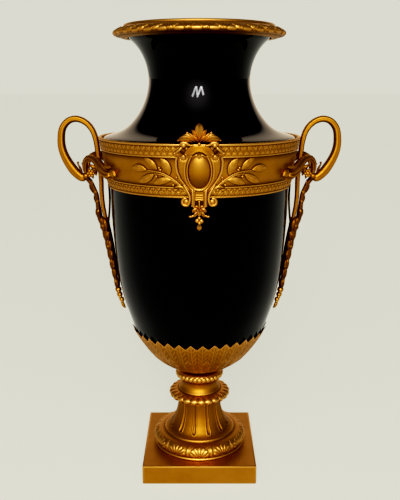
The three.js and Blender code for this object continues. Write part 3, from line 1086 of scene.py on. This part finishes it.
# the right handle: x outwards, y to the back, z up
handle = {
    "loopMiddle": (130, 377),
    "ring": [(104.6, 286), (106.6, 300), (108.6, 312), (109.6, 326), (109.6, 342), (110.8, 358),
             (112.2, 372), (113.9, 385.6), (116.4, 394.2), (121.6, 401.9), (128.4, 406.6), (135.1, 408.2),
             (142.8, 406.2), (148.8, 400), (152, 386), (151.2, 375.2), (148, 366), (142.4, 356),
             (136.4, 348.4), (130.4, 344.2), (126, 344.6)],
    "ringRows": 170,
    # half the ring's width and depth at even steps along it
    "ringHalf": [1.6, 2.2, 2.4, 2.5, 2.6, 2.8, 3, 3.3, 3.7, 4, 4.5, 5.2, 4.6],
    "ringDeep": [3.4, 4.2, 4.4, 4.6, 4.9, 5.2, 5.3, 5.3, 5.4, 5.5, 5.6, 5.8, 5.4],
    "crook": [(90, 57.4, 353.6), (95.6, 51.6, 353.8), (101.4, 44, 358), (107.6, 34, 364.4),
              (114.6, 24, 367.4), (120.5, 16, 367), (124.6, 11, 362.6), (125.8, 8, 356.3),
              (125.2, 5.6, 349)],
    "crookSizes": [3.8, 5, 5.6, 4.9, 4.1, 3.6, 3.2, 3.2, 2.8],
    "stem": [(126, 0, 344), (122.4, 0, 339.6), (118.6, 0, 332), (115.8, 0, 325), (114.5, 0, 316),
             (113.4, 0, 306), (112.2, 0, 297), (108.4, 0, 287)],
    "stemSizes": [2.9, 2.8, 2.6, 2.7, 2.9, 3.2, 3.2, 2.4],
    "innerStrip": [(101.4, 0, 337), (100.8, 0, 322), (101.6, 0, 306), (103.8, 0, 290)],
    "spine": [(108.6, 0, 300), (106, 0, 288), (102.9, 0, 271), (99.9, 0, 250), (96.2, 0, 226),
              (94.2, 0, 214)],
    "husks": 7,
    "berries": [(94, 213.4), (92.6, 207.4), (90.4, 201.4)],
}


def ringBar():
    along = handle["ringRows"]
    line = spaced(curved([(x, 0, z) for x, z in handle["ring"]]), along)
    side, out = framesAlong(line, (0, -1, 0))
    half = spreadOut(handle["ringHalf"], along + 1)
    deep = spreadOut(handle["ringDeep"], along + 1)
    length = stepLengths(line).sum()

    def shape(u, v):
        row = np.rint(v * along).astype(int)
        angle = u * fullTurn
        end = dome(np.clip(1 - np.minimum(v, 1 - v) * length / 4, 0, 1))
        across, up = np.cos(angle), np.sin(angle)
        # a faint channel runs along the front and the back face
        channel = 1 - 0.07 * crease(across + 0.1, 0.22)
        w = half[row] * np.sign(across) * np.abs(across) ** 0.8 * end
        d = deep[row] * np.sign(up) * np.abs(up) ** 0.8 * channel * end
        return line[row] + side[row] * w[:, None] + out[row] * d[:, None]

    def innerShade(points, normals):
        # painted shade: the inside of the loop, facing the dark vase, is painted darker, and the whole ring
        # a little darker
        toMiddle = unit(np.array(handle["loopMiddle"]) - points[:, [0, 2]])
        inward = (normals[:, [0, 2]] * toMiddle).sum(axis=1)
        return -0.2 - 0.3 * fade(inward, 0.2, 0.85) * fade(points[:, 2], 335, 350)

    return markWearAndShade(gridPiece("ringBar", 32, along, shape), 1.2, innerShade)


def pendantLightAndShade(points, normals):
    # painted light and shade: the chased work is painted dark, with painted glints at scattered spots and
    # painted light on its outer side and on the berries
    x, y, z = points.T
    paintedGlints = np.sin(z * 0.83 + x * 0.4) * np.sin(z * 0.37 + np.abs(y) * 1.1)
    paintedSideLight = 0.16 * fade(normals[:, 0], 0.5, 0.95)
    berries = 0.42 * (1 - fade(z, 208, 219))
    return -0.6 + 0.42 * fade(paintedGlints, 0.62, 0.9) + paintedSideLight + berries


def husk(place, down, reach, deep, length, petals=5):
    # slim petals that lie round the pendant's spine and part at their tips
    down = unit(np.array(down, float))
    outward = unit(np.cross((0, 1, 0), down) * (-1 if down[2] > 0 else 1))
    outward = outward * np.sign(outward[0])
    side = np.array((0, 1, 0), float)
    place = np.array(place, float)
    parts = []
    for i in range(petals):
        a = (i - (petals - 1) / 2) / (petals - 1) * math.radians(210)
        spread = math.cos(a) * outward * reach + math.sin(a) * side * deep
        facing = unit(spread)
        path = [place + spread * 0.75,
                place + spread * 1.05 + down * length * 0.5,
                place + spread + down * length]
        parts.append(leaf(path, facing, deep * 0.95, reach * 0.34, peak=0.45, around=12, along=12))
    return parts


def pendant():
    # three struts lie side by side, and rows of husks hang over them
    spine = spaced(curved(handle["spine"]), 60)
    outer = [(x + 3.9 - i * 0.5, y, z) for i, (x, y, z) in enumerate(handle["spine"])]
    inner = [(x - 3.2, y, z) for x, y, z in handle["spine"][:-1]] + [(93.4, 0, 213)]
    parts = [
        tube(handle["spine"], [3.2, 3.6, 3.2, 2.7, 2.2, 1.8], flat=1.5, step=1.4, ridges=6, ridgeDepth=0.15),
        tube(outer, [1.6, 1.5, 1.4, 1.2, 1.1, 1], flat=1.3, step=1.6),
        tube(inner, [1.4, 1.7, 1.7, 1.5, 1.2, 0.8], flat=1.8, ridges=5, ridgeDepth=0.2, step=1.6),
    ]
    for i in range(handle["husks"]):
        place = i / (handle["husks"] - 0.6)
        row = round(place * 54)
        at = spine[row]
        ahead = spine[row + 5]
        size = 1 - 0.5 * place
        parts.extend(husk(at, ahead - at, 4.3 * size, 6.2 * size, 19 * (1 - 0.42 * place)))
        # small buds show between the petals
        for side in (-1, 1):
            for reach, drop in ((0.5, 7), (2.2, 12)):
                bud = at + np.array((reach, side * (6.4 - reach), -drop)) * size
                parts.append(ball(bud, np.array((1.4, 1.4, 2.1)) * size, 12, 8))
    for i, (x, z) in enumerate(handle["berries"]):
        size = 1 - 0.1 * i
        parts.append(ball((x + 0.2, 0, z), (3.7 * size, 4 * size, 3.5 * size), 16, 10))
        for side in (-1, 1):
            small = (2.1 * size, 2.2 * size, 2.5 * size)
            parts.append(ball((x - 0.4, side * 2.6 * size, z - 2.4), small, 12, 8))
    parts.append(leaf([(89.8, 0, 199), (88, 0, 194.6), (86, 0, 190.6)], (1, 0, 0.3), 4.6, 2.2, along=12))
    return markWearAndShade(joined("pendant", parts), 1.4, pendantLightAndShade)


def forkedStem():
    parts = [
        tube(handle["stem"], handle["stemSizes"], flat=1.3, ridges=5, ridgeDepth=0.2, twist=4),
        tube(handle["innerStrip"], [0.9, 1, 1, 1.2], flat=3.8, around=16),
    ]
    for x, z, turn in ((120.6, 339, 1), (116.4, 325, -1), (114.6, 309, 1)):
        path = [(x - 1, -turn * 1.6, z + 3), (x + 0.6, -turn * 2.6, z - 5), (x - 2, -turn * 1.6, z - 13)]
        parts.append(leaf(path, (0.8, -turn, 0), 5.4, 0.9, around=14, along=16))
    return markWearAndShade(joined("stem", parts), 1.4, pendantLightAndShade)


def crook(side):
    def at(x, y, z):
        return (x, side * y, z)

    def blade(points, outward, wide, thick=1.1, peak=0.5):
        return leaf([at(*point) for point in points], outward, wide, thick, peak, around=16, along=16)

    parts = [
        tube([at(*point) for point in handle["crook"]], handle["crookSizes"], outward=(0.3, 0, 1),
             ridges=6, ridgeDepth=0.22, twist=4, around=36),
        ball(at(88.8, 57.8, 355.4), (3.9, 4, 4.8), 28, 18),
        ball(at(88.2, 62.4, 358), (1.7, 1.5, 1.9), 14, 10),
        # leaves cup the scroll where it meets the belt
        blade([(91.6, 60, 359.8), (87.6, 65, 357), (84.6, 66.4, 353.6)], (0.6, side * 0.8, 0.1), 5),
        blade([(96, 54, 350), (92.4, 59.4, 349.6), (87.4, 63.4, 350.4)], (0.7, side * 0.7, -0.1), 4.6),
        blade([(98.6, 50, 361.8), (94.8, 55.4, 362.6), (90, 59.6, 362)], (0.7, side * 0.7, 0.4), 4.6),
        # the spur that runs back to the belt
        blade([(113, 27, 363), (107, 32.6, 359.6), (101.4, 33.6, 359)], (0.6, side * 0.6, 0.5), 5.4, 1.3),
        # the flower in the fork
        ball(at(118.8, 12, 350), (3.3, 2.6, 3.5), 18, 12),
        blade([(123, 9.4, 356), (118.8, 13, 351), (116.6, 11, 343.8)], (0.2, side, 0), 5),
        blade([(121, 11.6, 358.6), (116, 14.4, 357.6), (112.6, 13.4, 353.6)], (0.2, side, 0), 4),
    ]
    for i in range(6):
        a = i / 6 * fullTurn
        parts.append(ball(at(118.8 + 3 * math.cos(a), 14, 350 + 3 * math.sin(a)), (1.6, 1.2, 1.6), 12, 8))
    return parts


def makeHandles():
    tip = [
        leaf([(130, 0, 348), (132, 0, 354.4), (135.4, 0, 360.4)], (0.9, 0, -0.4), 6, 1.4, along=16),
        leaf([(127, 0, 348), (128, 0, 355), (131.4, 0, 360)], (-0.9, 0, 0.4), 5.4, 1.3, along=16),
        ball((134.8, 0, 360.4), (1.4, 2.4, 1.2), 12, 8),
        ball((126, 0, 346), (4, 5, 4), 24, 14),
    ]
    # the scrolls are given a darker tone overall
    scrolls = markWearAndShade(joined("scrolls", [*tip, *crook(1), *crook(-1)]), 1.0, -0.19)
    right = joined("handleRight", [ringBar(), scrolls, forkedStem(), pendant()])
    left = copied(right, "handleLeft", lambda p: p * (-1, 1, 1))
    finishPiece(right, "handle_right", 55)
    finishPiece(left, "handle_left", 55)


# places in metres
studio = {
    "backdrop": (0.70, 0.70, 0.62),
    "floorColour": (0.16, 0.16, 0.14),
    "floorGlow": 0.87, "floorRadius": 30,
    "key": (-0.06, -0.88, 0.47), "keyStrength": 2.9, "keyTightness": 7.4, "keyColour": (1, 0.95, 0.88),
    "fill": 0.05,
    "horizonStrength": 0.3, "horizonFall": 3, "horizonColour": (1, 0.93, 0.84),
    "wallStrength": 0.82, "wallEdge": (0.70, 0.84), "wallColour": (1, 0.82, 0.62),
    # four leaning panes, each with its place across, height, length and lean in degrees
    "panes": [(-0.35, 1.17, 0.62, 27), (-0.16, 1.19, 0.58, -8), (0.03, 1.13, 0.50, 27),
              (0.21, 1.13, 0.48, -18)],
    "paneWide": 0.12, "paneAway": 1.78, "panePower": 6.5, "paneAim": (0, 0, 0.43),
    "contrast": ((0, 0), (0.03, 0.004), (0.12, 0.075), (0.35, 0.36), (0.7, 0.7), (1, 0.94)),
    "cameraPlace": (0.0007, -0.7418, 0.4453),
    "cameraPitch": 14.0,
    "lens": 48, "sensor": 36,
}


def makeFloor():
    clearSelection()
    bpy.ops.mesh.primitive_circle_add(vertices=128, radius=studio["floorRadius"], fill_type="NGON")
    floor = bpy.context.object
    floor.name = "floor"
    material, _, shader = nodeTree("floorPaper")
    shader.inputs["Base Color"].default_value = (*studio["floorColour"], 1)
    shader.inputs["Roughness"].default_value = 1
    shader.inputs["Specular IOR Level"].default_value = 0
    shader.inputs["Emission Color"].default_value = (*studio["backdrop"], 1)
    shader.inputs["Emission Strength"].default_value = studio["floorGlow"]
    floor.data.materials.append(material)


def makeWorld():
    # the camera sees a plain pale backdrop, while the urn is lit by a broad soft key above the front, a
    # low glow round the horizon and a bright wall behind
    world = bpy.data.worlds.new("studio")
    bpy.context.scene.world = world
    world.use_nodes = True
    tree = world.node_tree
    tree.nodes.clear()
    direction = addNode(tree, "TexCoord", {}).outputs["Generated"]
    facing = addNode(tree, "VectorMath", {0: direction, 1: studio["key"]})
    facing.operation = "DOT_PRODUCT"
    positive = calculated(tree, "MAXIMUM", facing.outputs["Value"], 0)
    lobe = calculated(tree, "POWER", positive, studio["keyTightness"])
    key = calculated(tree, "MULTIPLY_ADD", lobe, studio["keyStrength"], studio["fill"])
    around = addNode(tree, "Background", {0: (*studio["keyColour"], 1), 1: key})
    split = addNode(tree, "SeparateXYZ", {0: direction})
    below = calculated(tree, "MINIMUM", calculated(tree, "SUBTRACT", 1, split.outputs[2]), 1)
    horizon = calculated(tree, "MULTIPLY", calculated(tree, "POWER", below, studio["horizonFall"]),
                         studio["horizonStrength"])
    edgeLow, edgeHigh = studio["wallEdge"]
    wall = addNode(tree, "MapRange", {"Value": split.outputs[1], "From Min": edgeLow, "From Max": edgeHigh})
    wall.interpolation_type = "SMOOTHSTEP"
    tint = ramp(tree, wall.outputs[0], [(0, studio["horizonColour"]), (1, studio["wallColour"])])
    glow = calculated(tree, "MULTIPLY_ADD", wall.outputs[0], studio["wallStrength"], horizon)
    low = addNode(tree, "Background", {0: tint, 1: glow})
    light = addNode(tree, "AddShader", {0: around.outputs[0], 1: low.outputs[0]})
    seen = addNode(tree, "Background", {0: (*studio["backdrop"], 1)})
    forCamera = addNode(tree, "LightPath", {}).outputs["Is Camera Ray"]
    mix = addNode(tree, "MixShader", {0: forCamera, 1: light.outputs[0], 2: seen.outputs[0]})
    addNode(tree, "OutputWorld", {0: mix.outputs[0]})


def makeLights():
    # the panes show in the glaze as a window
    for across, height, length, lean in studio["panes"]:
        place = Vector((across, -studio["paneAway"], height))
        clearSelection()
        bpy.ops.object.light_add(type="AREA", location=place)
        lamp = bpy.context.object
        lamp.name = "pane"
        lamp.data.shape = "RECTANGLE"
        lamp.data.size = studio["paneWide"]
        lamp.data.size_y = length
        lamp.data.energy = studio["panePower"]
        facing = (Vector(studio["paneAim"]) - place).to_track_quat("-Z", "Y")
        lamp.rotation_euler = (facing @ Quaternion((0, 0, 1), math.radians(lean))).to_euler()


def setContrast():
    view = bpy.context.scene.view_settings
    view.view_transform = "Standard"
    view.use_curve_mapping = True
    curve = view.curve_mapping.curves[3]
    for place, value in studio["contrast"][1:-1]:
        curve.points.new(place, value)
    curve.points[0].location = studio["contrast"][0]
    curve.points[-1].location = studio["contrast"][-1]
    view.curve_mapping.update()


def makeCamera():
    clearSelection()
    bpy.ops.object.camera_add(location=studio["cameraPlace"],
                              rotation=(math.radians(90 - studio["cameraPitch"]), 0, 0))
    camera = bpy.context.object
    camera.data.lens = studio["lens"]
    camera.data.sensor_width = studio["sensor"]
    bpy.context.scene.camera = camera


print("camera, stage and light")
makeCamera()
makeFloor()
makeWorld()
makeLights()
setContrast()
print("plinth, foot and knop")
makePlinth()
makeFoot()
makeKnop()
print("vase and leaf cup")
makeVase()
makeCup()
print("rim and belt")
makeRim()
makeBelt()
print("cartouche and medallion")
makeCartouche()
makeBackMedallion()
print("handles")
makeHandles()
